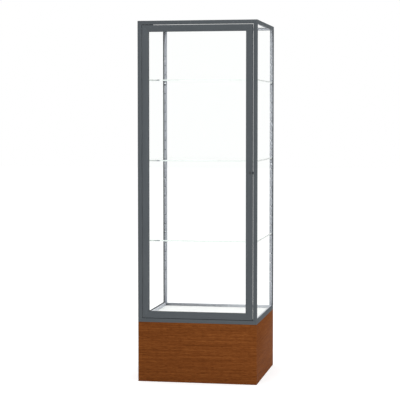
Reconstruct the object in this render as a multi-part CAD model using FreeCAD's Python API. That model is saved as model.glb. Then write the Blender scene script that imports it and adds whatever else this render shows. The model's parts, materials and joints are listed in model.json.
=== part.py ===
import FreeCAD, Part
import math
import os

os.makedirs("parts", exist_ok=True)
Vector = FreeCAD.Vector

# Overall sizes in millimetres. The floor is z = 0 and the door faces -Y.
case_width = 609.6
case_depth = 609.6
case_height = 1828.8
base_height = 304.8

# Plinth
base_panel = 19.0
block_size = 44.0
block_lift = 14.0
cleat_thick = 19.0
cleat_height = 40.0
deck_thick = 16.0
deck_rise = 8.0
deck_clear = 0.5
base_screw_radius = 2.0
base_screw_grip = 12.0
base_screw_margin = 25.0
base_screw_stagger = 20.0

# Levelling feet
foot_radius = 16.0
foot_height = 8.0
foot_rise = 0.3
foot_edge = 1.5
stud_radius = 5.0
stud_length = 60.0
stud_clear = 0.05
stud_headroom = 5.0
insert_wall = 2.0
insert_length = 22.0
insert_flange = 4.0

# Frame of angle rails and posts
frame_face = 19.05
frame_wall = 2.4
rail_lip = 6.35
bead_rise = 3.2
tube_wall = 1.6
back_core = 16.0
plug_length = 30.0
plug_clear = 0.15
frame_screw_radius = 1.75
frame_screw_length = 22.0
frame_screw_end = 90.0

# Glass and its gaskets
glass_thick = 6.0
gasket_thick = 0.6
glass_edge = 0.5

# Slotted standards
standard_width = 15.2
standard_depth = 4.0
standard_wall = 1.4
standard_gap = 0.6
slot_width = 11.0
slot_height = 3.2
slot_pitch = 50.8
slot_start = 152.4
slot_end = 152.4
jamb_slot_land = 0.4
standard_screw_radius = 1.3
standard_screw_length = 6.4

# Shelves and clips
shelf_thick = 6.0
shelf_corner = 4.0
shelf_side_gap = 2.0
shelf_back_gap = 3.0
shelf_seat_gap = 0.2
shelf_top_slots = 3
clip_rise = 4.2
clip_drop = 6.0
clip_tip = 2.2
clip_bearing = 10.0
clip_slack = 0.3
clip_hook = 1.2
clip_hook_rise = 3.2

# Door
door_thick = 19.05
door_face = 33.5
door_wall = 2.0
door_groove = 10.0
door_bite = 8.0
door_gap_top = 2.8
door_gap_bottom = 2.6
key_leg = 45.0
key_clear = 0.15
stop_gap = 1.2
stop_thick = 2.5
stop_height = 6.0
strip_thick = 1.9
strip_width = 2.0

# Pivot hinges
pivot_inset = 13.0
swing_clear = 0.8
pin_radius = 2.5
pin_clear = 0.05
pin_depth = 14.0
pin_root = 4.0
leaf_length = 56.0
leaf_width = 15.0
leaf_thick = 1.0
leaf_corner = 4.0
washer_wall = 3.0
pivot_play = 0.1
hinge_screw_radius = 1.3
hinge_screw_length = 5.0
hinge_screw_first = 17.0
hinge_screw_pitch = 17.0

# Lock
plug_radius = 5.0
plug_recess = 0.2
keyway_width = 1.4
keyway_height = 6.0
keyway_depth = 3.0
nose_wall = 1.3
crank_radius = 4.0
crank_rest = 45.0
drive_radius = 1.25
drive_slack = 0.3
disc_thick = 1.6
bolt_thick = 4.0
bolt_height = 13.0
bolt_show = 3.0
bolt_land = 1.4
bolt_clear = 0.2
lock_play = 0.3
lock_back_wall = 3.0
housing_half = 17.0
strike_clear = 0.6

# A flat screw head is this many times as wide as its shank, with a 90 degree sink.
flat_head = 1.9
screw_clear = 0.1
# Cutters reach this far past the face that they open.
overcut = 1.0

# Lines and levels that follow from the sizes above.
half_width = case_width / 2
half_depth = case_depth / 2
case_half = (half_width, half_depth)
deck_top = base_height + deck_rise
deck_bottom = deck_top - deck_thick
leg_top = base_height + frame_wall
sill_z = base_height + frame_face
head_z = case_height - frame_face
leg_under = case_height - frame_wall
glass_line = frame_wall + gasket_thick + glass_thick
bead_top = leg_under - gasket_thick - glass_thick
post_z = (sill_z, head_z)
lip_z = (sill_z, sill_z + rail_lip)
low_bead_z = (leg_top, sill_z + bead_rise)

pivot_depth = door_thick / 2
swing_radius = math.hypot(pivot_inset, pivot_depth)
door_gap_side = swing_radius - pivot_inset + swing_clear
door_bottom = sill_z + door_gap_bottom
door_top = head_z - door_gap_top
door_mid = (door_bottom + door_top) / 2
door_half = (half_width - frame_face - door_gap_side, (door_top - door_bottom) / 2)
door_cavity = door_face - door_groove - 2 * door_wall
pivot_x = pivot_inset - door_half[0]
pivot_y = pivot_depth - half_depth
stop_back = door_thick + stop_gap + stop_thick

slot_count = int((case_height - slot_end - base_height - slot_start) / slot_pitch + 0.001) + 1
slot_levels = [base_height + slot_start + i * slot_pitch for i in range(slot_count)]
shelf_step = (slot_count - 1) // 3
upper_slot = slot_count - 1 - shelf_top_slots
shelf_slots = {
    "shelf_lower": upper_slot - 2 * shelf_step,
    "shelf_middle": upper_slot - shelf_step,
    "shelf_upper": upper_slot,
}
standard_inset = glass_line + standard_gap
standard_mid = half_width - standard_inset - standard_width / 2
standard_face = half_depth - glass_line - standard_depth
jamb_mid = half_width - (glass_line + frame_face) / 2
jamb_slot_width = frame_face - glass_line - 2 * tube_wall - 2 * jamb_slot_land
jamb_face = frame_face - half_depth
shelf_front = pivot_depth + swing_radius + swing_clear - half_depth
shelf_back = standard_face - shelf_back_gap

lock_x = door_half[0] - door_wall - door_cavity / 2
lock_z = door_mid
bolt_y = (door_thick - door_wall - lock_back_wall - bolt_thick - half_depth,
          door_thick - door_wall - lock_back_wall - half_depth)
bolt_z = (lock_z - bolt_height / 2, lock_z + bolt_height / 2)
disc_y = (bolt_y[0] - lock_play - disc_thick, bolt_y[0] - lock_play)
disc_radius = crank_radius + drive_radius + drive_slack
drive_x = lock_x - crank_radius * math.sin(math.radians(crank_rest))
drive_z = lock_z + crank_radius * math.cos(math.radians(crank_rest))
foot_centre = (half_width - base_panel - block_size / 2, half_depth - base_panel - block_size / 2)
stud_top = foot_rise + foot_height + stud_length
BOTTOM, RIGHT, TOP, LEFT = range(4)
FRONT, BACK = BOTTOM, TOP


def box(x, y, z):
    """Block between a low and a high value along each axis."""
    return Part.makeBox(x[1] - x[0], y[1] - y[0], z[1] - z[0], Vector(x[0], y[0], z[0]))


def rod_z(x, y, z, radius):
    """Upright round bar."""
    return Part.makeCylinder(radius, z[1] - z[0], Vector(x, y, z[0]))


def rod_y(x, z, y, radius):
    """Round bar from front to back."""
    return Part.makeCylinder(radius, y[1] - y[0], Vector(x, y[0], z), Vector(0, 1, 0))


def grown(limits, amount):
    """Limits moved outwards by an amount at both ends."""
    return (limits[0] - amount, limits[1] + amount)


def from_right(near, far):
    """Limits along X, as distances from the right outer face."""
    return (half_width - far, half_width - near)


def from_front(near, far):
    """Limits along Y, as distances from the front face."""
    return (near - half_depth, far - half_depth)


def from_back(near, far):
    """Limits along Y, as distances from the back face."""
    return (half_depth - far, half_depth - near)


def both_sides(half):
    """Limits on each side of the centre."""
    return (-half, half)


def mirrored(shape):
    """The same piece on the other side of the case."""
    return shape.mirror(Vector(0, 0, 0), Vector(1, 0, 0))


def with_mirror(shapes):
    """Pieces of the right side and their copies on the left."""
    return shapes + [mirrored(shape) for shape in shapes]


def tube(x, y, z, along):
    """Rectangular tube with open ends along one axis."""
    inner = [grown(limits, 0 if axis == along else -tube_wall) for axis, limits in zip("xyz", (x, y, z))]
    return box(x, y, z).cut(box(*inner))


def ring_side(half, side, inset, depth):
    """Corners of one mitred side of a rectangular ring."""
    def corners(distance):
        a = half[0] - distance
        b = half[1] - distance
        return [(-a, -b), (a, -b), (a, b), (-a, b)]

    outer = corners(inset)
    inner = corners(inset + depth)
    following = (side + 1) % 4
    return [outer[side], outer[following], inner[following], inner[side]]


def plan_prism(pairs, z):
    """Upright prism over an outline in plan."""
    points = [Vector(x, y, z[0]) for x, y in pairs]
    return Part.Face(Part.makePolygon(points + points[:1])).extrude(Vector(0, 0, z[1] - z[0]))


def door_prism(pairs, y):
    """Prism through the door over an outline about the door's centre."""
    points = [Vector(x, y[0], z + door_mid) for x, z in pairs]
    return Part.Face(Part.makePolygon(points + points[:1])).extrude(Vector(0, y[1] - y[0], 0))


def flat_screw(point, direction, radius, length, clear=0.0):
    """Flat head screw from its head's face inwards, or its hole where a clearance is given."""
    head_radius = radius * flat_head + clear
    shank_radius = radius + clear
    head = Part.makeCone(head_radius, shank_radius, head_radius - shank_radius, point, direction)
    return head.fuse(Part.makeCylinder(shank_radius, length + clear, point, direction)).removeSplitter()


def ring_screws(clear=0.0):
    """Screws through the flat legs of the bottom ring into the plinth, three on each side."""
    line = (glass_line + frame_face) / 2
    points = []
    for way in (-1, 1):
        for step in (-1, 0, 1):
            points.append((step * (half_width - frame_screw_end), way * (half_depth - line)))
            points.append((way * (half_width - line), step * (half_depth - frame_screw_end)))
    down = Vector(0, 0, -1)
    return [flat_screw(Vector(x, y, leg_top), down, frame_screw_radius, frame_screw_length, clear)
            for x, y in points]


def base_screws(clear=0.0):
    """Screws from the corner blocks into the plinth panels."""
    length = block_size + base_screw_grip
    low = stud_top + stud_headroom + base_screw_margin
    high = deck_bottom - base_screw_margin - base_screw_stagger
    screws = []
    for sx in (-1, 1):
        for sy in (-1, 1):
            x, y = sx * foot_centre[0], sy * foot_centre[1]
            inner_x, inner_y = x - sx * block_size / 2, y - sy * block_size / 2
            for z in (low, high):
                raised = z + base_screw_stagger
                screws.append(flat_screw(Vector(inner_x, y, z), Vector(sx, 0, 0),
                                         base_screw_radius, length, clear))
                screws.append(flat_screw(Vector(x, inner_y, raised), Vector(0, sy, 0),
                                         base_screw_radius, length, clear))
    return screws


def base_nodes():
    """Plinth: mitred panels on corner blocks, with cleats that carry the deck."""
    holes = base_screws(screw_clear) + ring_screws(screw_clear)
    nodes = {}
    for name, side in (("front", FRONT), ("right", RIGHT), ("back", BACK), ("left", LEFT)):
        panel = plan_prism(ring_side(case_half, side, 0, base_panel), (0, base_height))
        nodes["base_" + name + "_panel"] = panel.cut(holes)

    blocks = []
    for sx in (-1, 1):
        for sy in (-1, 1):
            x, y = sx * foot_centre[0], sy * foot_centre[1]
            reach = (-block_size / 2, block_size / 2)
            block = box((x + reach[0], x + reach[1]), (y + reach[0], y + reach[1]),
                        (block_lift, deck_bottom))
            insert_hole = rod_z(x, y, (block_lift - overcut, block_lift + insert_length),
                                stud_radius + stud_clear + insert_wall)
            stud_hole = rod_z(x, y, (block_lift, stud_top + stud_headroom), stud_radius + insert_wall)
            blocks.append(block.cut([insert_hole, stud_hole] + base_screws(screw_clear)))
    nodes["base_corner_blocks"] = Part.makeCompound(blocks)
    nodes["base_screws"] = Part.makeCompound(base_screws())

    inner_x = half_width - base_panel
    inner_y = half_depth - base_panel
    cleat_z = (deck_bottom - cleat_height, deck_bottom)
    cleats = []
    for way in (-1, 1):
        across = sorted((way * inner_y, way * (inner_y - cleat_thick)))
        along = sorted((way * inner_x, way * (inner_x - cleat_thick)))
        cleats.append(box(both_sides(inner_x - block_size), across, cleat_z))
        cleats.append(box(along, both_sides(inner_y - block_size), cleat_z))
    nodes["deck_cleats"] = Part.makeCompound(cleats)
    nodes["deck_panel"] = box(both_sides(inner_x - deck_clear),
                              (stop_back + deck_clear - half_depth, inner_y - deck_clear),
                              (deck_bottom, deck_top))
    return nodes


def leveler_nodes():
    """Levelling feet that thread into inserts in the corner blocks."""
    nodes = {}
    inserts = []
    bore = stud_radius + stud_clear
    for row, sy in (("front", -1), ("back", 1)):
        for hand, sx in (("left", -1), ("right", 1)):
            x, y = sx * foot_centre[0], sy * foot_centre[1]
            pad = rod_z(x, y, (foot_rise, foot_rise + foot_height), foot_radius)
            pad = pad.makeChamfer(foot_edge, pad.Edges)
            stud = rod_z(x, y, (foot_rise + foot_height / 2, stud_top), stud_radius)
            nodes["leveler_" + row + "_" + hand] = pad.fuse(stud).removeSplitter()
            barrel = rod_z(x, y, (block_lift, block_lift + insert_length), bore + insert_wall)
            flange = rod_z(x, y, (block_lift - insert_wall, block_lift), bore + insert_wall + insert_flange)
            hole = rod_z(x, y, (0, base_height), bore)
            inserts.append(barrel.fuse(flange).cut(hole).removeSplitter())
    nodes["leveler_inserts"] = Part.makeCompound(inserts)
    return nodes


def ring_rail(side, z, leg_z):
    """Mitred rail of a ring: an upright leg outside and a flat leg pointing inwards."""
    upright = plan_prism(ring_side(case_half, side, 0, frame_wall), z)
    flat = plan_prism(ring_side(case_half, side, 0, frame_face), leg_z)
    return upright.fuse(flat).removeSplitter()


def side_lips():
    """Raised edges of the two bottom side rails, from post to post."""
    right = box(from_right(0, frame_wall), both_sides(half_depth - frame_face), lip_z)
    return {"right": right, "left": mirrored(right)}


def slot_cutters(x_mid, width, y):
    """Cutters for one column of shelf slots."""
    x = (x_mid - width / 2, x_mid + width / 2)
    return [box(x, y, (z - slot_height / 2, z + slot_height / 2)) for z in slot_levels]


def front_post(strike):
    """Right front post: a corner angle with a slotted jamb tube that closes the glass groove."""
    front_leg = box(from_right(0, frame_face), from_front(0, frame_wall), post_z)
    side_leg = box(from_right(0, frame_wall), from_front(0, frame_face), post_z)
    jamb = box(from_right(glass_line, frame_face), from_front(0, frame_face), post_z)
    post = jamb.fuse([front_leg, side_leg]).removeSplitter()
    cutters = [box(*jamb_bore(), post_z)]
    cutters += slot_cutters(jamb_mid, jamb_slot_width, (jamb_face - tube_wall - overcut, jamb_face + overcut))
    if strike:
        cutters.append(box(from_right(frame_face - tube_wall, frame_face + overcut),
                           grown(bolt_y, strike_clear), grown(bolt_z, strike_clear)))
    return post.cut(cutters)


def jamb_bore():
    """Plan limits of the hollow in the right jamb tube."""
    return (from_right(glass_line + tube_wall, frame_face - tube_wall),
            from_front(frame_wall, frame_face - tube_wall))


def core_bore():
    """Plan limits of the hollow in the right back post."""
    return (from_right(frame_wall, back_core - tube_wall), from_back(frame_wall, glass_line - tube_wall))


def back_post():
    """Right back post: a corner angle with a tube core between the two panes."""
    side_leg = box(from_right(0, frame_wall), from_back(0, frame_face), post_z)
    back_leg = box(from_right(0, frame_face), from_back(0, frame_wall), post_z)
    core = box(from_right(0, back_core), from_back(0, glass_line), post_z)
    post = core.fuse([side_leg, back_leg]).removeSplitter()
    return post.cut([box(*core_bore(), post_z)] + standard_screws(screw_clear))


def post_plugs():
    """Right plugs that join the posts to the rings, one at each end of a post."""
    front_x, front_y = (grown(limits, -plug_clear) for limits in jamb_bore())
    back_x, back_y = (grown(limits, -plug_clear) for limits in core_bore())
    plugs = []
    for end, inward, ring_end in ((sill_z, plug_length, leg_top), (head_z, -plug_length, leg_under)):
        spigot_z = sorted((end, end + inward))
        plugs.append(box(front_x, front_y, spigot_z))
        foot = box(from_right(frame_wall, back_core), from_back(frame_wall, glass_line),
                   sorted((end, ring_end)))
        plugs.append(foot.fuse(box(back_x, back_y, spigot_z)).removeSplitter())
    return plugs


def front_threshold():
    """Tube under the door, with an upstanding stop behind it that clears the door's hinge edge."""
    sill = tube(both_sides(half_width - glass_line), from_front(frame_wall, stop_back), (leg_top, sill_z), "x")
    stop = box((pivot_x + swing_radius + swing_clear, half_width - glass_line),
               from_front(stop_back - stop_thick, stop_back), (sill_z, sill_z + stop_height))
    holes = [hinge_pin("bottom", pin_clear)] + hinge_screws("frame", "bottom", screw_clear)
    return sill.fuse(stop).removeSplitter().cut(holes)


def front_header():
    """Tube over the door that carries the front edge of the top glass."""
    tube_x = both_sides(half_width - glass_line)
    header = tube(tube_x, from_front(frame_wall, frame_face), (head_z, bead_top), "x")
    return header.cut([hinge_pin("top", pin_clear)] + hinge_screws("frame", "top", screw_clear))


def hinge_gap_strip():
    """Strip on the left front post that narrows the gap beside the door, clear of the door's swing."""
    return mirrored(box(from_right(frame_face, frame_face + strip_thick), from_front(0, strip_width), post_z))


def bead_ring(z, front):
    """Glazing bead tubes on the right, left and back of the case."""
    side = tube(from_right(glass_line, frame_face), (front, half_depth - frame_face), z, "y")
    back = tube(both_sides(half_width - glass_line), from_back(glass_line, frame_face), z, "x")
    return Part.makeCompound([side, mirrored(side), back])


def frame_nodes():
    """Dark angle frame, its tubes and the light beads inside it."""
    nodes = {}
    holes = ring_screws(screw_clear)
    lips = side_lips()
    for name, side in (("front", FRONT), ("right", RIGHT), ("back", BACK), ("left", LEFT)):
        bottom = ring_rail(side, (base_height, sill_z), (base_height, leg_top))
        if name in lips:
            bottom = bottom.fuse(lips[name]).removeSplitter()
        nodes["bottom_rail_" + name] = bottom.cut(holes)
        nodes["top_rail_" + name] = ring_rail(side, (head_z, case_height), (leg_under, case_height))
    nodes["post_front_right"] = front_post(strike=True)
    nodes["post_front_left"] = mirrored(front_post(strike=False))
    nodes["post_back_right"] = back_post()
    nodes["post_back_left"] = mirrored(back_post())
    nodes["post_plugs"] = Part.makeCompound(with_mirror(post_plugs()))
    nodes["frame_screws"] = Part.makeCompound(ring_screws())
    nodes["front_threshold"] = front_threshold()
    nodes["front_header"] = front_header()
    nodes["hinge_gap_strip"] = hinge_gap_strip()
    nodes["bottom_beads"] = bead_ring(low_bead_z, stop_back - half_depth)
    nodes["top_beads"] = bead_ring((head_z, bead_top), frame_face - half_depth)
    return nodes


def pane(pocket, thin, outer_face, window):
    """Glass in its pocket of X, Y and Z limits, and the gasket ring round it.

    thin is the axis through the glass and outer_face the end of it that the outer leg covers."""
    limits = [grown(span, -glass_edge) for span in pocket]
    ends = list(pocket[thin])
    ends[outer_face] += gasket_thick if outer_face == 0 else -gasket_thick
    limits[thin] = ends
    glass = box(*limits)
    return glass, box(*pocket).cut([glass, box(*window)])


def glazing_nodes():
    """Fixed panes and their gaskets."""
    inner_x = both_sides(half_width - frame_face)
    inner_y = both_sides(half_depth - frame_face)
    pane_z = (leg_top, leg_under)
    side_x = from_right(frame_wall, glass_line)
    back_y = from_back(frame_wall, glass_line)
    top_z = (bead_top, leg_under)
    side_y = (frame_wall - half_depth, half_depth - glass_line)
    side_sight = (grown(side_x, overcut), inner_y, (lip_z[1], head_z))
    back_sight = (inner_x, grown(back_y, overcut), post_z)
    right, right_gasket = pane((side_x, side_y, pane_z), 0, 1, side_sight)
    back, back_gasket = pane((both_sides(half_width - back_core), back_y, pane_z), 1, 1, back_sight)
    top, top_gasket = pane((both_sides(half_width - glass_line), both_sides(half_depth - glass_line), top_z),
                           2, 1, (inner_x, inner_y, grown(top_z, overcut)))
    gaskets = [right_gasket, mirrored(right_gasket), back_gasket, top_gasket]
    return {"glass_right": right, "glass_left": mirrored(right), "glass_back": back, "glass_top": top,
            "glazing_gaskets": Part.makeCompound(gaskets)}


def standard_screws(clear=0.0):
    """Screws that hold the right standard to its post, midway between slots."""
    x = half_width - (standard_inset + standard_wall + back_core) / 2
    picks = (0, (slot_count - 1) // 2, slot_count - 2)
    levels = [slot_levels[i] + slot_pitch / 2 for i in picks]
    return [flat_screw(Vector(x, standard_face, z), Vector(0, 1, 0),
                       standard_screw_radius, standard_screw_length, clear) for z in levels]


def standard():
    """Right slotted standard: a shallow channel, open towards the post."""
    x = from_right(standard_inset, standard_inset + standard_width)
    y = (standard_face, standard_face + standard_depth)
    z = (low_bead_z[1], head_z)
    channel = box(grown(x, -standard_wall), (y[0] + standard_wall, y[1]), z)
    cutters = slot_cutters(standard_mid, slot_width, (y[0] - overcut, y[1] + overcut))
    return box(x, y, z).cut([channel] + cutters + standard_screws(screw_clear))


def clip(x_mid, width, face, way, wall, reach, level):
    """Shelf clip: a hooked tongue in the slot and a tapered arm under the shelf.

    face is the slotted face, way the direction out of it along Y, wall the metal behind the face."""
    tongue = slot_height / 2 - clip_slack
    behind = -(wall + clip_slack)
    hook_end = behind - clip_hook
    outline = [(0, clip_rise), (reach, clip_rise), (reach, clip_rise - clip_tip), (0, -clip_drop), (0, -tongue),
               (hook_end, -tongue), (hook_end, clip_hook_rise), (behind, clip_hook_rise),
               (behind, tongue), (0, tongue)]
    points = [Vector(x_mid - width / 2, face + way * out, level + rise) for out, rise in outline]
    return Part.Face(Part.makePolygon(points + points[:1])).extrude(Vector(width, 0, 0))


def shelf_nodes():
    """Standards, glass shelves and the clips that carry them."""
    nodes = {"standard_right": standard(), "standard_left": mirrored(standard()),
             "standard_screws": Part.makeCompound(with_mirror(standard_screws()))}
    side = both_sides(half_width - glass_line - shelf_side_gap)
    clips = []
    for name, slot in shelf_slots.items():
        level = slot_levels[slot]
        bottom = level + clip_rise + shelf_seat_gap
        shelf = box(side, (shelf_front, shelf_back), (bottom, bottom + shelf_thick))
        upright = [edge for edge in shelf.Edges if abs(edge.tangentAt(edge.FirstParameter).z) > 0.5]
        nodes[name] = shelf.makeFillet(shelf_corner, upright)
        clips.append(clip(standard_mid, slot_width - 2 * clip_slack, standard_face, -1, standard_wall,
                          shelf_back_gap + clip_bearing, level))
        clips.append(clip(jamb_mid, jamb_slot_width - 2 * clip_slack, jamb_face, 1, tube_wall,
                          shelf_front - jamb_face + clip_bearing, level))
    nodes["shelf_clips"] = Part.makeCompound(with_mirror(clips))
    return nodes


def door_member(side):
    """Mitred hollow member of the door with a groove for the glass."""
    y = from_front(0, door_thick)
    groove_half = glass_thick / 2 + gasket_thick
    groove_y = (pivot_y - groove_half, pivot_y + groove_half)
    body = door_prism(ring_side(door_half, side, 0, door_face), y)
    hollow = door_prism(ring_side(door_half, side, door_wall, door_cavity), grown(y, -door_wall))
    groove = door_prism(ring_side(door_half, side, door_face - door_groove, door_groove), groove_y)
    return body.cut([hollow, groove])


def door_key(side_x, side_z):
    """Corner key inside two door members; side_x and side_z choose the corner."""
    y = grown(from_front(0, door_thick), -door_wall - key_clear)
    start = door_wall + key_clear
    width = door_cavity - 2 * key_clear
    corner = (side_x * (door_half[0] - start), door_mid + side_z * (door_half[1] - start))

    def leg(reach_x, reach_z):
        return box(sorted((corner[0], corner[0] - side_x * reach_x)), y,
                   sorted((corner[1], corner[1] - side_z * reach_z)))

    return leg(key_leg, width).fuse(leg(width, key_leg)).removeSplitter()


def door_nodes():
    """Door frame, glass, gasket and corner keys."""
    bores = [hinge_pin(end, pin_clear) for end in ("top", "bottom")]
    bores += [hole for end in ("top", "bottom") for hole in hinge_screws("door", end, screw_clear)]
    nose_hole = rod_y(lock_x, lock_z, from_front(-overcut, door_wall + overcut),
                      plug_radius + nose_wall + stud_clear)
    bolt_window = box((door_half[0] - door_wall - overcut, door_half[0] + overcut),
                      grown(bolt_y, bolt_clear), grown(bolt_z, bolt_clear))
    nodes = {"door_rail_bottom": door_member(BOTTOM).cut(bores),
             "door_rail_top": door_member(TOP).cut(bores),
             "door_stile_left": door_member(LEFT).cut(bores),
             "door_stile_right": door_member(RIGHT).cut([nose_hole, bolt_window])}

    opening = [half - door_face for half in door_half]
    glass_half = [half + door_bite for half in opening]
    groove_half = [half + door_groove for half in opening]
    glass_y = (pivot_y - glass_thick / 2, pivot_y + glass_thick / 2)

    def slab(half, y):
        return box(both_sides(half[0]), y, (door_mid - half[1], door_mid + half[1]))

    glass = slab(glass_half, glass_y)
    gasket = slab(groove_half, grown(glass_y, gasket_thick))
    nodes["door_glass"] = glass
    nodes["door_gasket"] = gasket.cut([glass, slab(opening, grown(glass_y, overcut))])
    keys = [door_key(side_x, side_z).cut(bores) for side_x in (-1, 1) for side_z in (-1, 1)]
    nodes["door_corner_keys"] = Part.makeCompound(keys)
    return nodes


def hinge_levels(end):
    """Door edge, frame edge and the direction from door to frame at one end of the door."""
    return (door_top, head_z, 1) if end == "top" else (door_bottom, sill_z, -1)


def hinge_pin(end, clear=0.0):
    """Pivot pin from the frame tube into the door's corner key, or its hole."""
    door_edge, frame_edge, way = hinge_levels(end)
    span = sorted((frame_edge + way * pin_root, door_edge - way * pin_depth))
    return rod_z(pivot_x, pivot_y, grown(span, clear), pin_radius + clear)


def hinge_leaf(owner, end):
    """Thin leaf on the door's edge or on the frame tube over the gap."""
    door_edge, frame_edge, way = hinge_levels(end)
    seat, out = (door_edge, way) if owner == "door" else (frame_edge, -way)
    plate = box((-door_half[0], leaf_length - door_half[0]),
                (pivot_y - leaf_width / 2, pivot_y + leaf_width / 2), sorted((seat, seat + out * leaf_thick)))
    upright = [edge for edge in plate.Edges if abs(edge.tangentAt(edge.FirstParameter).z) > 0.5]
    plate = plate.makeFillet(leaf_corner, upright)
    return plate.cut([hinge_pin(end, pin_clear)] + hinge_screws(owner, end, screw_clear))


def hinge_screws(owner, end, clear=0.0):
    """Two screws through a leaf into the door or the frame tube."""
    door_edge, frame_edge, way = hinge_levels(end)
    seat, out = (door_edge, way) if owner == "door" else (frame_edge, -way)
    first = pivot_x + hinge_screw_first
    heads = [Vector(x, pivot_y, seat + out * leaf_thick) for x in (first, first + hinge_screw_pitch)]
    return [flat_screw(head, Vector(0, 0, -out), hinge_screw_radius, hinge_screw_length, clear)
            for head in heads]


def hinge_washer(end):
    """Washer that fills the gap between the two leaves, less the play."""
    door_edge, frame_edge, way = hinge_levels(end)
    z = sorted((frame_edge - way * leaf_thick, door_edge + way * (leaf_thick + pivot_play)))
    ring = rod_z(pivot_x, pivot_y, z, pin_radius + pin_clear + washer_wall)
    return ring.cut(rod_z(pivot_x, pivot_y, z, pin_radius + pin_clear))


def hinge_nodes():
    """Pivot hinges in the gaps over and under the door's left stile."""
    ends = ("top", "bottom")
    screws = [screw for end in ends for screw in hinge_screws("frame", end)]
    door_screws = [screw for end in ends for screw in hinge_screws("door", end)]
    return {"hinge_frame_leaves": Part.makeCompound([hinge_leaf("frame", end) for end in ends]),
            "hinge_door_leaves": Part.makeCompound([hinge_leaf("door", end) for end in ends]),
            "hinge_pins": Part.makeCompound([hinge_pin(end) for end in ends]),
            "hinge_washers": Part.makeCompound([hinge_washer(end) for end in ends]),
            "hinge_frame_screws": Part.makeCompound(screws),
            "hinge_door_screws": Part.makeCompound(door_screws)}


def lock_housing():
    """Block in the right stile with a nose that shows at the front."""
    cavity_x = (door_half[0] - door_wall - door_cavity, door_half[0] - door_wall)
    y = grown(from_front(0, door_thick), -door_wall - key_clear)
    block = box(grown(cavity_x, -key_clear), y, (lock_z - housing_half, lock_z + housing_half))
    nose = rod_y(lock_x, lock_z, (plug_recess - half_depth, y[0]), plug_radius + nose_wall)
    bore = rod_y(lock_x, lock_z, (-half_depth - overcut, disc_y[1]), plug_radius + stud_clear)
    pocket = rod_y(lock_x, lock_z, (disc_y[0] - lock_play, bolt_y[0]), disc_radius + lock_play)
    channel = box((drive_x - drive_radius - drive_slack - bolt_land - bolt_clear, cavity_x[1] + overcut),
                  grown(bolt_y, bolt_clear), grown(bolt_z, bolt_clear))
    return block.fuse(nose).cut([bore, pocket, channel]).removeSplitter()


def lock_plug():
    """Key plug with a crank disc and the drive pin that moves the bolt."""
    plug = rod_y(lock_x, lock_z, (plug_recess - half_depth, disc_y[0]), plug_radius)
    disc = rod_y(lock_x, lock_z, disc_y, disc_radius)
    pin = rod_y(drive_x, drive_z, (disc_y[1], bolt_y[1] - bolt_clear), drive_radius)
    keyway = box((lock_x - keyway_width / 2, lock_x + keyway_width / 2),
                 from_front(plug_recess - overcut, plug_recess + keyway_depth),
                 (lock_z - keyway_height / 2, lock_z + keyway_height / 2))
    return plug.fuse([disc, pin]).removeSplitter().cut(keyway)


def lock_bolt():
    """Sliding bolt with an upright slot for the drive pin."""
    slot_half = drive_radius + drive_slack
    body = box((drive_x - slot_half - bolt_land, door_half[0] + bolt_show), bolt_y, bolt_z)
    slot = box((drive_x - slot_half, drive_x + slot_half), grown(bolt_y, overcut),
               (drive_z - slot_half, lock_z + crank_radius + slot_half))
    return body.cut(slot)


nodes = {}
nodes.update(base_nodes())
nodes.update(leveler_nodes())
nodes.update(frame_nodes())
nodes.update(glazing_nodes())
nodes.update(shelf_nodes())
nodes.update(door_nodes())
nodes.update(hinge_nodes())
nodes.update({"lock_housing": lock_housing(), "lock_plug": lock_plug(), "lock_bolt": lock_bolt()})

for name, shape in nodes.items():
    shape.exportStep("parts/" + name + ".step")
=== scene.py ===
import json
import math

import bmesh
import bpy
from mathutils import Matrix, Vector


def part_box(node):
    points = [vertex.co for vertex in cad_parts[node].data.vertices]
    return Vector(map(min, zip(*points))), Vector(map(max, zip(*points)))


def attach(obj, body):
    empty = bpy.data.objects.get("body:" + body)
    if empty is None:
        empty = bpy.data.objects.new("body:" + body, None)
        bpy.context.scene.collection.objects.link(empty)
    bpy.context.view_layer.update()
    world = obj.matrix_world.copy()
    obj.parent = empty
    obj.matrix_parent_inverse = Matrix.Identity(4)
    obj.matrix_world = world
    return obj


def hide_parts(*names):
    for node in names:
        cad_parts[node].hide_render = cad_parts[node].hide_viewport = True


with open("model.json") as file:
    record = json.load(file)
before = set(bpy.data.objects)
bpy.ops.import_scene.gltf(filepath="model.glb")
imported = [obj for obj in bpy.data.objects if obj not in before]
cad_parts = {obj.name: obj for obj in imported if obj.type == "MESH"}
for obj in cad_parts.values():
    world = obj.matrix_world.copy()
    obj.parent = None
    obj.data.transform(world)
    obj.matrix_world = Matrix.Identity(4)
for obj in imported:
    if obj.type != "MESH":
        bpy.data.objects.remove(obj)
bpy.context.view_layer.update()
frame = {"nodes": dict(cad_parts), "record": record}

MM = 0.001
AXES = "xyz"

# Edge rounds of the real pieces
EXTRUSION_EDGE = 0.5 * MM
PRESSED_EDGE = 0.25 * MM
PANEL_EDGE = 0.8 * MM
GLASS_ARRIS = 0.5 * MM
ROUND_STEPS = 2
SHARP_ANGLE = math.radians(40)

# Gap between a pane and its seat
GLASS_SEAT = 0.05 * MM

# Limits for joining the triangles of a CAD mesh, and for points on one level
WELD_REACH = 0.001 * MM
ONE_PLANE = math.radians(0.5)
ONE_LEVEL = 0.01 * MM

# How squarely a face looks along an axis: the flat of a pane, the outer side of a panel
FLAT_SIDE = 0.9
OUTER_SIDE = 0.3

# Recess of the screws, as shares of the head's radius
RECESS_REACH = 0.62
RECESS_WIDTH = 0.2
SCREW_SIDES = 24

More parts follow.
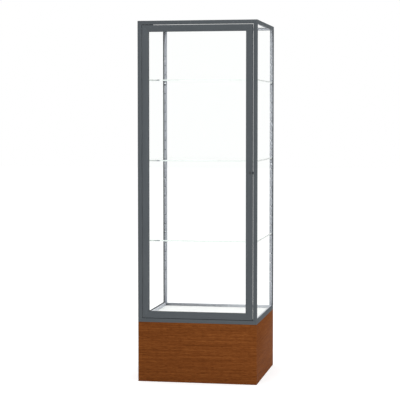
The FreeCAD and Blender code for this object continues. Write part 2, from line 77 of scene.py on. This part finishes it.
# Colours of the finishes, linear
WHITE = (1, 1, 1, 1)
GRAPHITE_DARK = (0.088, 0.099, 0.108, 1)
GRAPHITE_LIGHT = (0.108, 0.120, 0.130, 1)
# Lighter grey for the edge rounds of the graphite frame: a painted edge highlight, in patches like
# rubbed paint
GRAPHITE_PAINTED_HIGHLIGHT = (0.185, 0.200, 0.212, 1)
ALUMINIUM_DARK = (0.33, 0.35, 0.39, 1)
ALUMINIUM_LIGHT = (0.43, 0.45, 0.49, 1)
# Paler aluminium for the bottom beads only: painted light that makes up for the shade they stand
# in
BEAD_PAINTED_LIGHT_LOW = (0.47, 0.49, 0.53, 1)
BEAD_PAINTED_LIGHT_HIGH = (0.56, 0.58, 0.62, 1)
GRAIN_DARK = (0.122, 0.0348, 0.0079, 1)
GRAIN_MID = (0.195, 0.0580, 0.0135, 1)
GRAIN_LIGHT = (0.272, 0.0900, 0.0226, 1)
PORE_SHADE = (0.50, 0.44, 0.40, 1)
CHIP_DARK = (0.26, 0.17, 0.09, 1)
CHIP_LIGHT = (0.42, 0.30, 0.17, 1)
SOFTWOOD_DARK = (0.36, 0.22, 0.10, 1)
SOFTWOOD_LIGHT = (0.60, 0.43, 0.24, 1)
DECK_FLECK = (0.89, 0.89, 0.88, 1)
DECK_WHITE = (0.93, 0.93, 0.92, 1)
GROUND_DARK = (0.64, 0.67, 0.655, 1)
GROUND_LIGHT = (0.72, 0.74, 0.73, 1)
RUBBER_DARK = (0.012, 0.012, 0.012, 1)
RUBBER_LIGHT = (0.03, 0.03, 0.03, 1)
ZINC_DARK = (0.46, 0.47, 0.49, 1)
ZINC_LIGHT = (0.62, 0.63, 0.65, 1)
NYLON_DARK = (0.68, 0.68, 0.64, 1)
NYLON_LIGHT = (0.78, 0.78, 0.74, 1)
LOCK_DARK = (0.006, 0.006, 0.007, 1)
LOCK_LIGHT = (0.016, 0.016, 0.018, 1)
NICKEL_DARK = (0.06, 0.064, 0.068, 1)
NICKEL_LIGHT = (0.09, 0.095, 0.1, 1)

# Glass: its tints, how it bends light, the weaker mirror of its low-reflection coat, and the
# share of mirror above which light can't leave it
PANE_TINT = (0.997, 1.0, 0.9985, 1)
EDGE_TINT = (0.985, 1.0, 0.992, 1)
GLASS_DEPTH = (0.980, 0.987, 0.983, 1)
GLASS_IOR = 1.5
COATED_IOR = 1.015
TURNED_BACK = 0.98

# Sockets of the Mix node that take and give colours
MIX_COLOUR_A, MIX_COLOUR_B, MIX_COLOUR_OUT = 6, 7, 2

# Camera of the photo, fitted to the case's corners, for a frame of 400 by 400 pixels
CAMERA_PLACE = (1.3485, -7.3728, 1.3434)
CAMERA_TILT = 0.05754
CAMERA_TURN = 0.1864
CAMERA_LENS = 128.96
CAMERA_SENSOR = 36.0

# Stage: a pale floor that is lifted to white, and a world that is white to the eye
FLOOR_SIZE = 60
FLOOR_DROP = 0.5 * MM
FLOOR_GREY = (0.6, 0.6, 0.6, 1)
FLOOR_LIFT = 0.55
WORLD_LIGHT = 0.84
WORLD_SEEN = 1.0

# Softboxes: place, aim, size, and power in watts
SOFTBOXES = {
    "front_softbox": ((-2.2, -6.0, 2.4), (0, 0, 0.9), 2.6, 60),
    "side_softbox": ((6.0, -1.6, 2.2), (0, 0, 0.9), 2.6, 78),
    "overhead_softbox": ((0, 0.2, 5.6), (0, 0, 0.3), 2.4, 90),
}

# Light turns back and forth many times inside the edge of a shelf
LIGHT_TURNS = {"max_bounces": 128, "glossy_bounces": 100, "transmission_bounces": 32}

# Pieces by the way they are made
BEADS = ("bottom_beads", "top_beads")
PRESSED = ("standard_left", "standard_right", "shelf_clips")
PLINTH_SIDES = {"front": (0, -1, 0), "back": (0, 1, 0), "left": (-1, 0, 0), "right": (1, 0, 0)}
PANES_THROUGH = {
    "glass_left": "x", "glass_right": "x", "glass_back": "y", "glass_top": "z", "door_glass": "y",
}
SHELVES = ("shelf_lower", "shelf_middle", "shelf_upper")
SCREWS = (
    "standard_screws", "hinge_frame_screws", "hinge_door_screws", "frame_screws", "base_screws",
)

# Axis that a piece runs along, where it isn't upright
RUN_AXIS = {
    "bottom_rail_front": "x", "bottom_rail_back": "x", "top_rail_front": "x", "top_rail_back": "x",
    "bottom_rail_left": "y", "bottom_rail_right": "y", "top_rail_left": "y", "top_rail_right": "y",
    "door_rail_top": "x", "door_rail_bottom": "x", "front_threshold": "x", "front_header": "x",
    "top_beads": "y",
}

record = frame["record"]
BODY_OF = {
    node: body for body, nodes in record["behaviour"]["bodies"].items() for node in nodes
}
SLOT_OF = {part["node"]: part["material_slot"] for part in record["subparts"]}


# Node trees

def connect(tree, node, inputs):
    """Links each input that is given a socket, and sets any other."""
    for name, value in inputs.items():
        if isinstance(value, bpy.types.NodeSocket):
            tree.links.new(value, node.inputs[name])
        else:
            node.inputs[name].default_value = value


def add(tree, kind, inputs=None, **settings):
    """Adds a node with its settings and inputs."""
    node = tree.nodes.new(kind)
    for name, value in settings.items():
        setattr(node, name, value)
    connect(tree, node, inputs or {})
    return node


def reckon(tree, operation, *values):
    """Result of one sum on sockets and numbers."""
    return add(tree, "ShaderNodeMath", dict(enumerate(values)), operation=operation).outputs[0]


def mix_shaders(tree, share, first, second):
    """Two shaders mixed, by the share of the second."""
    inputs = {0: share, 1: first.outputs[0], 2: second.outputs[0]}
    return add(tree, "ShaderNodeMixShader", inputs)


def blank_finish(name):
    """A material with an untouched Principled shader."""
    material = bpy.data.materials.new(name)
    material.use_nodes = True
    return material, material.node_tree, material.node_tree.nodes["Principled BSDF"]


def object_coords(tree):
    return add(tree, "ShaderNodeTexCoord").outputs["Object"]


def grain(tree, coords, scale, detail=4.0, roughness=0.6, distortion=0.0):
    """Noise whose scale differs along each axis, so that it can be drawn out into lines."""
    placed = add(tree, "ShaderNodeMapping", {"Vector": coords, "Scale": scale})
    noise = add(tree, "ShaderNodeTexNoise", {
        "Vector": placed.outputs["Vector"], "Scale": 1.0, "Detail": detail,
        "Roughness": roughness, "Distortion": distortion,
    })
    return noise.outputs["Fac"]


def drawn_scale(along, fine, slow):
    """Noise scale that draws lines along one axis."""
    return tuple(slow if axis == along else fine for axis in AXES)


def tones(tree, factor, stops):
    """Colour ramp over stops of position and colour."""
    ramp = add(tree, "ShaderNodeValToRGB", {"Fac": factor})
    elements = ramp.color_ramp.elements
    while len(elements) < len(stops):
        elements.new(0.5)
    for element, (position, colour) in zip(elements, stops):
        element.position = position
        element.color = colour
    return ramp.outputs["Color"]


def spread(tree, factor, low, high):
    """A factor of 0 to 1 stretched between two values."""
    inputs = {"Value": factor, "To Min": low, "To Max": high}
    return add(tree, "ShaderNodeMapRange", inputs).outputs["Result"]


def blend(tree, a, b, share):
    """Weighted sum of two factors, by the share of the second."""
    return reckon(tree, "MULTIPLY_ADD", b, share, reckon(tree, "MULTIPLY", a, 1 - share))


def relief(tree, height, depth, strength):
    """Normal of a fine surface relief."""
    inputs = {"Height": height, "Distance": depth, "Strength": strength}
    return add(tree, "ShaderNodeBump", inputs).outputs["Normal"]


def seen_by_eye(tree):
    """1 for what the camera sees, plainly, in a reflection or through glass."""
    path = add(tree, "ShaderNodeLightPath").outputs
    mirrored = reckon(tree, "MAXIMUM", path["Is Camera Ray"], path["Is Glossy Ray"])
    return reckon(tree, "MAXIMUM", mirrored, path["Is Transmission Ray"])


# Finishes

def satin_graphite(name, along, highlight_edges=False):
    """Dark grey satin metal with faint lines along it. The copy for the edge rounds has a painted
    highlight, lighter in patches like rubbed paint.
    """
    material, tree, shader = blank_finish(name)
    coords = object_coords(tree)
    lines = grain(tree, coords, drawn_scale(along, fine=900, slow=6))
    if highlight_edges:
        # Edge rounds: painted highlight, lighter in patches like rubbed paint
        patches = grain(tree, coords, drawn_scale(along, fine=40, slow=9))
        colour = tones(tree, patches, [(0.40, GRAPHITE_LIGHT), (0.64, GRAPHITE_PAINTED_HIGHLIGHT)])
    else:
        drift = grain(tree, coords, drawn_scale(along, fine=26, slow=3), detail=2.0)
        tone = blend(tree, lines, drift, share=0.5)
        colour = tones(tree, tone, [(0.32, GRAPHITE_DARK), (0.68, GRAPHITE_LIGHT)])
    connect(tree, shader, {
        "Base Color": colour,
        "Roughness": spread(tree, lines, low=0.74, high=0.88),
        "Normal": relief(tree, lines, depth=0.004 * MM, strength=0.4),
        "Specular IOR Level": 0.06,
    })
    return material


def satin_aluminium(name, along, dark=ALUMINIUM_DARK, light=ALUMINIUM_LIGHT):
    """Bare satin aluminium with drawing lines along the piece."""
    material, tree, shader = blank_finish(name)
    coords = object_coords(tree)
    lines = grain(tree, coords, drawn_scale(along, fine=1100, slow=8))
    drift = grain(tree, coords, drawn_scale(along, fine=30, slow=4), detail=2.0)
    tone = blend(tree, lines, drift, share=0.4)
    connect(tree, shader, {
        "Base Color": tones(tree, tone, [(0.3, dark), (0.7, light)]),
        "Roughness": spread(tree, lines, low=0.34, high=0.52),
        "Normal": relief(tree, lines, depth=0.004 * MM, strength=0.5),
        "Metallic": 0.25,
    })
    return material


def walnut_laminate(name):
    """Red-brown wood-grain laminate with level grain on all four sides of the plinth."""
    material, tree, shader = blank_finish(name)
    parts = add(tree, "ShaderNodeSeparateXYZ", {"Vector": object_coords(tree)}).outputs
    run = reckon(tree, "ADD", parts["X"], parts["Y"])
    coords = add(tree, "ShaderNodeCombineXYZ", {"X": run, "Z": parts["Z"]}).outputs["Vector"]
    bands = grain(tree, coords, (2.2, 1, 34), detail=3.0, distortion=0.6)
    lines = grain(tree, coords, (2.4, 1, 170), detail=6.0, roughness=0.7, distortion=0.1)
    fibres = grain(tree, coords, (24, 1, 230), detail=6.0, roughness=0.75)
    pores = grain(tree, coords, (42, 1, 820), detail=2.0)
    tone = blend(tree, blend(tree, bands, lines, share=0.8), fibres, share=0.42)
    colour = tones(tree, tone, [(0.39, GRAIN_DARK), (0.5, GRAIN_MID), (0.61, GRAIN_LIGHT)])
    pore_mask = tones(tree, pores, [(0.36, PORE_SHADE), (0.44, WHITE)])
    pored = add(tree, "ShaderNodeMix",
                {"Factor": 1.0, MIX_COLOUR_A: colour, MIX_COLOUR_B: pore_mask},
                data_type="RGBA", blend_type="MULTIPLY")
    surface = blend(tree, fibres, pores, share=0.6)
    connect(tree, shader, {
        "Base Color": pored.outputs[MIX_COLOUR_OUT],
        "Roughness": spread(tree, fibres, low=0.55, high=0.72),
        "Normal": relief(tree, surface, depth=0.06 * MM, strength=0.5),
        "Specular IOR Level": 0.006,
    })
    return material


def pressed_board(name):
    """Brown chip board, on the hidden faces of the plinth panels."""
    material, tree, shader = blank_finish(name)
    chips = add(tree, "ShaderNodeTexVoronoi", {"Vector": object_coords(tree), "Scale": 420.0})
    parts = add(tree, "ShaderNodeSeparateXYZ", {"Vector": chips.outputs["Color"]}).outputs
    connect(tree, shader, {
        "Base Color": tones(tree, parts["X"], [(0.0, CHIP_DARK), (1.0, CHIP_LIGHT)]),
        "Roughness": 0.85,
        "Normal": relief(tree, parts["X"], depth=0.1 * MM, strength=0.6),
    })
    return material


def planed_softwood(name):
    """Pale blocks and cleats with upright grain."""
    material, tree, shader = blank_finish(name)
    rings = grain(tree, object_coords(tree), (70, 70, 4), detail=3.0, distortion=0.8)
    connect(tree, shader, {
        "Base Color": tones(tree, rings, [(0.3, SOFTWOOD_DARK), (0.7, SOFTWOOD_LIGHT)]),
        "Roughness": 0.7,
        "Normal": relief(tree, rings, depth=0.1 * MM, strength=0.5),
    })
    return material


def flecked(name, low, high, scale, roughness, metallic=0.0, specular=0.5):
    """Finish with a fine even fleck: ground, moulded, painted or plated surfaces."""
    material, tree, shader = blank_finish(name)
    fleck = grain(tree, object_coords(tree), (scale, scale, scale), detail=3.0)
    connect(tree, shader, {
        "Base Color": tones(tree, fleck, [(0.3, low), (0.7, high)]),
        "Roughness": spread(tree, fleck, roughness * 0.85, roughness * 1.15),
        "Normal": relief(tree, fleck, depth=0.02 * MM, strength=0.5),
        "Metallic": metallic,
        "Specular IOR Level": specular,
    })
    return material


def float_glass(name, tint):
    """Clear low-reflection glass that bends light and lets lamps reach what stands behind it."""
    material, tree, shader = blank_finish(name)
    tree.nodes.remove(shader)
    ripple = grain(tree, object_coords(tree), (2.5, 2.5, 1.2), detail=1.0)
    polished = {"Roughness": 0.0, "Normal": relief(tree, ripple, depth=0.02 * MM, strength=0.3)}
    bent = add(tree, "ShaderNodeBsdfRefraction", {"Color": tint, "IOR": GLASS_IOR, **polished})
    gloss = add(tree, "ShaderNodeBsdfGlossy", {"Color": GLASS_DEPTH, **polished})

    def fresnel(ior):
        inputs = {"IOR": ior, "Normal": polished["Normal"]}
        return add(tree, "ShaderNodeFresnel", inputs).outputs[0]

    rim = fresnel(COATED_IOR)
    turned_back = reckon(tree, "GREATER_THAN", fresnel(GLASS_IOR), TURNED_BACK)
    mirror = reckon(tree, "MAXIMUM", rim, turned_back)
    glass = mix_shaders(tree, mirror, bent, gloss)
    path = add(tree, "ShaderNodeLightPath").outputs
    lamp_ray = reckon(tree, "MAXIMUM", path["Is Shadow Ray"], path["Is Diffuse Ray"])
    clear = add(tree, "ShaderNodeBsdfTransparent", {"Color": tint})
    mixed = mix_shaders(tree, lamp_ray, glass, clear)
    connect(tree, tree.nodes["Material Output"], {"Surface": mixed.outputs[0]})
    return material


GRAPHITE = {axis: satin_graphite("satin_graphite_" + axis, axis) for axis in AXES}
# Finishes with the painted edge highlight, for the rounds of the graphite frame
EDGE_PAINTED_HIGHLIGHT = {
    axis: satin_graphite("graphite_edge_with_painted_highlight_" + axis, axis, highlight_edges=True) for axis in AXES
}
ALUMINIUM = {axis: satin_aluminium("satin_aluminium_" + axis, axis) for axis in AXES}
# Paler copy of the satin aluminium, for the bottom beads: painted light against their shade
BEAD_WITH_PAINTED_LIGHT = satin_aluminium("bead_aluminium_with_painted_light", "y", BEAD_PAINTED_LIGHT_LOW, BEAD_PAINTED_LIGHT_HIGH)
LAMINATE = walnut_laminate("walnut_laminate")
BOARD = pressed_board("pressed_board")
SOFTWOOD = planed_softwood("planed_softwood")
GLASS = float_glass("clear_float_glass", PANE_TINT)
GLASS_EDGE = float_glass("polished_glass_edge", EDGE_TINT)
GROUND_EDGE = flecked("ground_glass_edge", GROUND_DARK, GROUND_LIGHT, scale=900, roughness=0.5,
                      specular=0.3)
DECK = flecked("white_deck_laminate", DECK_FLECK, DECK_WHITE, scale=700, roughness=0.5)
RUBBER = flecked("black_rubber", RUBBER_DARK, RUBBER_LIGHT, scale=500, roughness=0.75)
ZINC = flecked("zinc_plated_steel", ZINC_DARK, ZINC_LIGHT, scale=260, roughness=0.32,
               metallic=1.0)
NYLON = flecked("natural_nylon", NYLON_DARK, NYLON_LIGHT, scale=300, roughness=0.5)
LOCK_BLACK = flecked("black_lock_case", LOCK_DARK, LOCK_LIGHT, scale=600, roughness=0.5,
                     specular=0.1)
NICKEL = flecked("black_nickel_plug", NICKEL_DARK, NICKEL_LIGHT, scale=400, roughness=0.4,
                 metallic=0.4, specular=0.2)

DRAWN_FINISH = {"frame_paint": GRAPHITE, "natural_aluminium": ALUMINIUM}
SLOT_FINISH = {
    "clear_glass": GLASS, "wood_laminate": LAMINATE, "raw_wood": SOFTWOOD, "deck_white": DECK,
    "black_rubber": RUBBER, "steel": ZINC, "nylon": NYLON, "lock_black": LOCK_BLACK,
    "lock_nickel": NICKEL,
}


# Pieces made from the CAD nodes

def run_axis(node):
    return RUN_AXIS.get(node, "z")


def finish_of(node):
    """The finish of a node, with its lines along the piece."""
    # The bottom beads take the paler aluminium copy, painted light that makes up for their shade
    if node == "bottom_beads":
        return BEAD_WITH_PAINTED_LIGHT
    slot = SLOT_OF[node]
    if slot in DRAWN_FINISH:
        return DRAWN_FINISH[slot][run_axis(node)]
    return SLOT_FINISH[slot]


def settle(piece):
    """Turns a piece with modifiers into a plain mesh."""
    bpy.context.view_layer.update()
    evaluated = piece.evaluated_get(bpy.context.evaluated_depsgraph_get())
    mesh = bpy.data.meshes.new_from_object(evaluated)
    piece.modifiers.clear()
    piece.data = mesh


def new_piece(name, mesh):
    piece = bpy.data.objects.new(name, mesh)
    bpy.context.scene.collection.objects.link(piece)
    return piece


def stand_for(piece, node):
    """The piece takes the node's place on its body, and the node is hidden."""
    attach(piece, BODY_OF[node])
    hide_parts(node)


def welded(mesh):
    """Shell of a mesh with its loose triangles joined."""
    shell = bmesh.new()
    shell.from_mesh(mesh)
    bmesh.ops.remove_doubles(shell, verts=shell.verts, dist=WELD_REACH)
    return shell


def merged_copy(node):
    """Copy of a node's mesh with its triangles joined into whole faces."""
    mesh = frame["nodes"][node].data.copy()
    shell = welded(mesh)
    bmesh.ops.dissolve_limit(shell, angle_limit=ONE_PLANE, verts=shell.verts, edges=shell.edges)
    shell.to_mesh(mesh)
    shell.free()
    mesh.materials.clear()
    return mesh


def round_edges(piece, name, radius):
    """Puts a round on the sharp edges of a piece."""
    bevel = piece.modifiers.new(name, "BEVEL")
    bevel.width = radius
    bevel.segments = ROUND_STEPS
    bevel.limit_method = "ANGLE"
    bevel.angle_limit = SHARP_ANGLE
    return bevel


def eased(node, radius):
    """Copy of a node with its sharp edges rounded. On the graphite frame the rounds carry a
    painted highlight, lighter in patches like rubbed paint.
    """
    piece = new_piece("eased_" + node, merged_copy(node))
    bevel = round_edges(piece, "edge_round", radius)
    bevel.harden_normals = True
    for face in piece.data.polygons:
        face.use_smooth = True
    piece.data.materials.append(finish_of(node))
    if SLOT_OF[node] == "frame_paint":
        # The rounds take the painted edge highlight
        piece.data.materials.append(EDGE_PAINTED_HIGHLIGHT[run_axis(node)])
        bevel.material = 1
    settle(piece)
    stand_for(piece, node)
    return piece


def plinth_panel(node, outward):
    """Panel with laminate on the outer face and bare board on the others."""
    panel = eased(node, PANEL_EDGE)
    panel.data.materials.append(BOARD)
    for face in panel.data.polygons:
        face.material_index = 0 if face.normal.dot(outward) > OUTER_SIDE else 1


def glass_pane(node, thin):
    """Pane a hair inside its seat, with arrised edges. thin is the axis through the glass."""
    low, high = (Vector(corner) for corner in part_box(node))
    seat = Vector((GLASS_SEAT,) * 3)
    low, high = low + seat, high - seat
    shell = bmesh.new()
    bmesh.ops.create_cube(shell, size=1.0)
    for vert in shell.verts:
        vert.co = Vector(low[i] + (vert.co[i] + 0.5) * (high[i] - low[i]) for i in range(3))
    bmesh.ops.bevel(shell, geom=shell.edges[:], offset=GLASS_ARRIS, segments=ROUND_STEPS,
                    profile=0.5, affect="EDGES")
    mesh = bpy.data.meshes.new(node + "_arrised")
    shell.to_mesh(mesh)
    shell.free()
    mesh.materials.append(GLASS)
    mesh.materials.append(GLASS_EDGE)
    through = AXES.index(thin)
    for face in mesh.polygons:
        face.material_index = 0 if abs(face.normal[through]) > FLAT_SIDE else 1
    stand_for(new_piece("arrised_" + node, mesh), node)


def glass_shelf(node):
    """Shelf with its front and back edges polished and its ends ground."""
    shelf = new_piece("polished_" + node, merged_copy(node))
    round_edges(shelf, "arris", GLASS_ARRIS)
    settle(shelf)
    for finish in (GLASS, GLASS_EDGE, GROUND_EDGE):
        shelf.data.materials.append(finish)
    for face in shelf.data.polygons:
        if abs(face.normal.z) < FLAT_SIDE:
            face.material_index = 2 if abs(face.normal.x) > abs(face.normal.y) else 1
    stand_for(shelf, node)


# Screws

def islands(mesh):
    """Groups of joined vertices of a mesh, as lists of places."""
    shell = welded(mesh)
    waiting = set(shell.verts)
    groups = []
    for start in shell.verts:
        if start not in waiting:
            continue
        waiting.remove(start)
        reached = [start]
        for vert in reached:
            for edge in vert.link_edges:
                other = edge.other_vert(vert)
                if other in waiting:
                    waiting.remove(other)
                    reached.append(other)
        groups.append([vert.co.copy() for vert in reached])
    shell.free()
    return groups


def screw_seat(points):
    """Head centre, inward direction, head radius, shank radius and length of one screw."""
    low = Vector(min(p[i] for p in points) for i in range(3))
    high = Vector(max(p[i] for p in points) for i in range(3))
    axis = max(range(3), key=lambda i: (high - low)[i])
    middle = (low + high) / 2

    def reach(level):
        near = [p for p in points if abs(p[axis] - level) < ONE_LEVEL]
        return max(math.hypot(*((p - middle)[i] for i in range(3) if i != axis)) for p in near)

    head_low = reach(low[axis]) > reach(high[axis])
    head, tip = (low, high) if head_low else (high, low)
    centre = middle.copy()
    centre[axis] = head[axis]
    aim = Vector((0, 0, 0))
    aim[axis] = 1 if head_low else -1
    return centre, aim, reach(head[axis]), reach(tip[axis]), abs(tip[axis] - head[axis])


def screw_tree():
    """Node tree that sets a flat head screw with a cross recess at each point, along its aim."""
    tree = bpy.data.node_groups.new("cross_recess_screws", "GeometryNodeTree")
    face = tree.interface
    face.new_socket("Points", in_out="INPUT", socket_type="NodeSocketGeometry")
    for name in ("Head Radius", "Shank Radius", "Length"):
        face.new_socket(name, in_out="INPUT", socket_type="NodeSocketFloat")
    face.new_socket("Finish", in_out="INPUT", socket_type="NodeSocketMaterial")
    face.new_socket("Screws", in_out="OUTPUT", socket_type="NodeSocketGeometry")
    given = add(tree, "NodeGroupInput").outputs

    sink = reckon(tree, "SUBTRACT", given["Head Radius"], given["Shank Radius"])
    head = add(tree, "GeometryNodeMeshCone", {
        "Vertices": SCREW_SIDES, "Radius Top": given["Shank Radius"],
        "Radius Bottom": given["Head Radius"], "Depth": sink,
    })
    arm = reckon(tree, "MULTIPLY", given["Head Radius"], 2 * RECESS_REACH)
    blade = reckon(tree, "MULTIPLY", given["Head Radius"], RECESS_WIDTH)
    cross = add(tree, "GeometryNodeJoinGeometry")
    for size_x, size_y in ((arm, blade), (blade, arm)):
        size = add(tree, "ShaderNodeCombineXYZ", {"X": size_x, "Y": size_y, "Z": sink})
        slot = add(tree, "GeometryNodeMeshCube", {"Size": size.outputs[0]})
        tree.links.new(slot.outputs["Mesh"], cross.inputs[0])
    cut = add(tree, "GeometryNodeMeshBoolean", operation="DIFFERENCE")
    tree.links.new(head.outputs["Mesh"], cut.inputs["Mesh 1"])
    tree.links.new(cross.outputs[0], cut.inputs["Mesh 2"])

    run = reckon(tree, "SUBTRACT", given["Length"], sink)
    shank = add(tree, "GeometryNodeMeshCylinder", {
        "Vertices": SCREW_SIDES, "Radius": given["Shank Radius"], "Depth": run,
    })
    middle = reckon(tree, "MULTIPLY_ADD", run, 0.5, sink)
    drop = add(tree, "ShaderNodeCombineXYZ", {"Z": middle})
    placed = add(tree, "GeometryNodeTransform", {
        "Geometry": shank.outputs["Mesh"], "Translation": drop.outputs[0],
    })
    screw = add(tree, "GeometryNodeJoinGeometry")
    tree.links.new(cut.outputs["Mesh"], screw.inputs[0])
    tree.links.new(placed.outputs[0], screw.inputs[0])

    aim = add(tree, "GeometryNodeInputNamedAttribute", {"Name": "aim"}, data_type="FLOAT_VECTOR")
    turn = add(tree, "FunctionNodeAlignRotationToVector", {"Vector": aim.outputs["Attribute"]},
               axis="Z")
    set_out = add(tree, "GeometryNodeInstanceOnPoints", {
        "Points": given["Points"], "Instance": screw.outputs[0], "Rotation": turn.outputs[0],
    })
    real = add(tree, "GeometryNodeRealizeInstances", {"Geometry": set_out.outputs[0]})
    done = add(tree, "GeometryNodeSetMaterial", {
        "Geometry": real.outputs[0], "Material": given["Finish"],
    })
    add(tree, "NodeGroupOutput", {"Screws": done.outputs[0]})
    return tree


def screw_set(node, tree, finish):
    """Screws with cross recesses in place of a node of plain ones, which are all one size."""
    seats = [screw_seat(points) for points in islands(frame["nodes"][node].data)]
    mesh = bpy.data.meshes.new(node + "_seats")
    mesh.from_pydata([centre for centre, *_ in seats], [], [])
    aims = mesh.attributes.new("aim", "FLOAT_VECTOR", "POINT")
    aims.data.foreach_set("vector", [value for _, aim, *_ in seats for value in aim])
    piece = new_piece("recessed_" + node, mesh)
    modifier = piece.modifiers.new("screws", "NODES")
    modifier.node_group = tree
    _, _, head, shank, length = seats[0]
    given = {"Head Radius": head, "Shank Radius": shank, "Length": length, "Finish": finish}
    for socket in tree.interface.items_tree:
        if socket.name in given:
            modifier[socket.identifier] = given[socket.name]
    settle(piece)
    stand_for(piece, node)


def dress():
    """Gives every node its finish, and stands finer pieces in for the ones that show."""
    for node, cad in frame["nodes"].items():
        cad.data.materials.clear()
        cad.data.materials.append(finish_of(node))
    for node, slot in SLOT_OF.items():
        if slot == "frame_paint" or node in BEADS:
            eased(node, EXTRUSION_EDGE)
    for node in PRESSED:
        eased(node, PRESSED_EDGE)
    for side, outward in PLINTH_SIDES.items():
        plinth_panel("base_" + side + "_panel", Vector(outward))
    for node, thin in PANES_THROUGH.items():
        glass_pane(node, thin)
    for node in SHELVES:
        glass_shelf(node)
    tree = screw_tree()
    for node in SCREWS:
        screw_set(node, tree, ZINC)


# Stage

def pale_floor():
    """Wide pale floor that shows as white and keeps a soft shadow. It is clear from below."""
    bpy.ops.mesh.primitive_plane_add(size=FLOOR_SIZE, location=(0, 0, -FLOOR_DROP))
    floor = bpy.context.object
    floor.name = "studio_floor"
    material, tree, shader = blank_finish("pale_floor")
    connect(tree, shader, {
        "Base Color": FLOOR_GREY,
        "Roughness": 0.9,
        "Specular IOR Level": 0.0,
        "Emission Color": WHITE,
        "Emission Strength": reckon(tree, "MULTIPLY", seen_by_eye(tree), FLOOR_LIFT),
    })
    below = add(tree, "ShaderNodeNewGeometry").outputs["Backfacing"]
    unseen = add(tree, "ShaderNodeBsdfTransparent")
    one_sided = mix_shaders(tree, below, shader, unseen)
    connect(tree, tree.nodes["Material Output"], {"Surface": one_sided.outputs[0]})
    floor.data.materials.append(material)


def white_world():
    """White to the eye and in reflections, plain soft light for the rest."""
    world = bpy.data.worlds.new("studio")
    bpy.context.scene.world = world
    world.use_nodes = True
    tree = world.node_tree
    strength = spread(tree, seen_by_eye(tree), WORLD_LIGHT, WORLD_SEEN)
    connect(tree, tree.nodes["Background"], {"Color": WHITE, "Strength": strength})


def soft_lamp(name, place, aim, size, power):
    """Square area lamp that points at a place."""
    light = bpy.data.lights.new(name, "AREA")
    light.size = size
    light.energy = power
    lamp = bpy.data.objects.new(name, light)
    lamp.location = place
    lamp.rotation_euler = (Vector(aim) - Vector(place)).to_track_quat("-Z", "Y").to_euler()
    bpy.context.scene.collection.objects.link(lamp)


def photo_camera():
    """Camera at the photo's viewing angle."""
    data = bpy.data.cameras.new("photo_camera")
    data.lens = CAMERA_LENS
    data.sensor_width = CAMERA_SENSOR
    camera = bpy.data.objects.new("photo_camera", data)
    camera.location = CAMERA_PLACE
    camera.rotation_euler = (math.pi / 2 - CAMERA_TILT, 0, CAMERA_TURN)
    bpy.context.scene.collection.objects.link(camera)
    bpy.context.scene.camera = camera


dress()
pale_floor()
white_world()
for lamp_name, settings in SOFTBOXES.items():
    soft_lamp(lamp_name, *settings)
photo_camera()
for limit, turns in LIGHT_TURNS.items():
    setattr(bpy.context.scene.cycles, limit, turns)

bpy.context.scene.view_settings.view_transform = "Standard"
